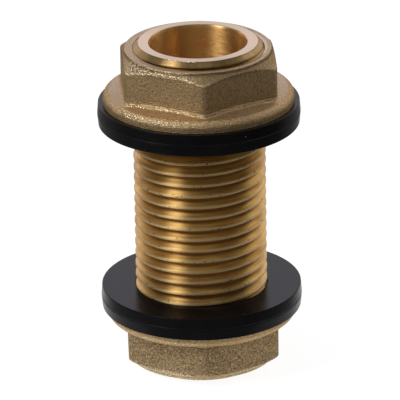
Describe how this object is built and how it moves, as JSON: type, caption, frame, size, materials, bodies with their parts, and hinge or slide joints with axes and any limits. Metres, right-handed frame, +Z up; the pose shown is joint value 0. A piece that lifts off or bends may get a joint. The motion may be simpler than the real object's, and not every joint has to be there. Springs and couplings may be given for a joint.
{
  "type": "tank connector",
  "caption": "Threaded brass tube with a flanged hexagon nut and a rubber washer at each end, to lead a pipe through the wall of a water tank.",
  "frame": {"origin": "centre of the tube's lower end face, the face that the part stands on", "axes": "+Z up the tube's axis; -Y is the side that the picture shows, with a corner of each hexagon facing it"},
  "size_m": [0.0318, 0.0318, 0.0535],
  "materials": {
    "turned_brass": "machined, fine turning marks",
    "cast_brass": "sand cast and shot blasted, fine grain",
    "black_rubber": "moulded, matt"
  },
  "bodies": {
    "barrel": {"threaded_barrel": "turned_brass"},
    "upper_seal": {"upper_washer": "black_rubber"},
    "upper_nut": {"upper_flanged_nut": "cast_brass"},
    "lower_seal": {"lower_washer": "black_rubber"},
    "lower_nut": {"lower_flanged_nut": "cast_brass"}
  },
  "joints": [
    {"name": "upper_travel", "type": "slide", "parent": "barrel", "child": "upper_seal", "axis": [0, 0, 1], "range_m": [-0.0127, 0.00908]},
    {"name": "upper_turn", "type": "hinge", "parent": "upper_seal", "child": "upper_nut", "pos_m": [0, 0, 0.04385], "axis": [0, 0, 1], "range_deg": [-2520, 1800]},
    {"name": "lower_travel", "type": "slide", "parent": "barrel", "child": "lower_seal", "axis": [0, 0, 1], "range_m": [0, 0.0127]},
    {"name": "lower_turn", "type": "hinge", "parent": "lower_seal", "child": "lower_nut", "pos_m": [0, 0, 0.00965], "axis": [0, 0, 1], "range_deg": [0, 2520]}
  ],
  "couplings": [
    {"joint": "upper_travel", "follows": "upper_turn", "m_per_rad": 0.00028871},
    {"joint": "lower_travel", "follows": "lower_turn", "m_per_rad": 0.00028871}
  ]
}
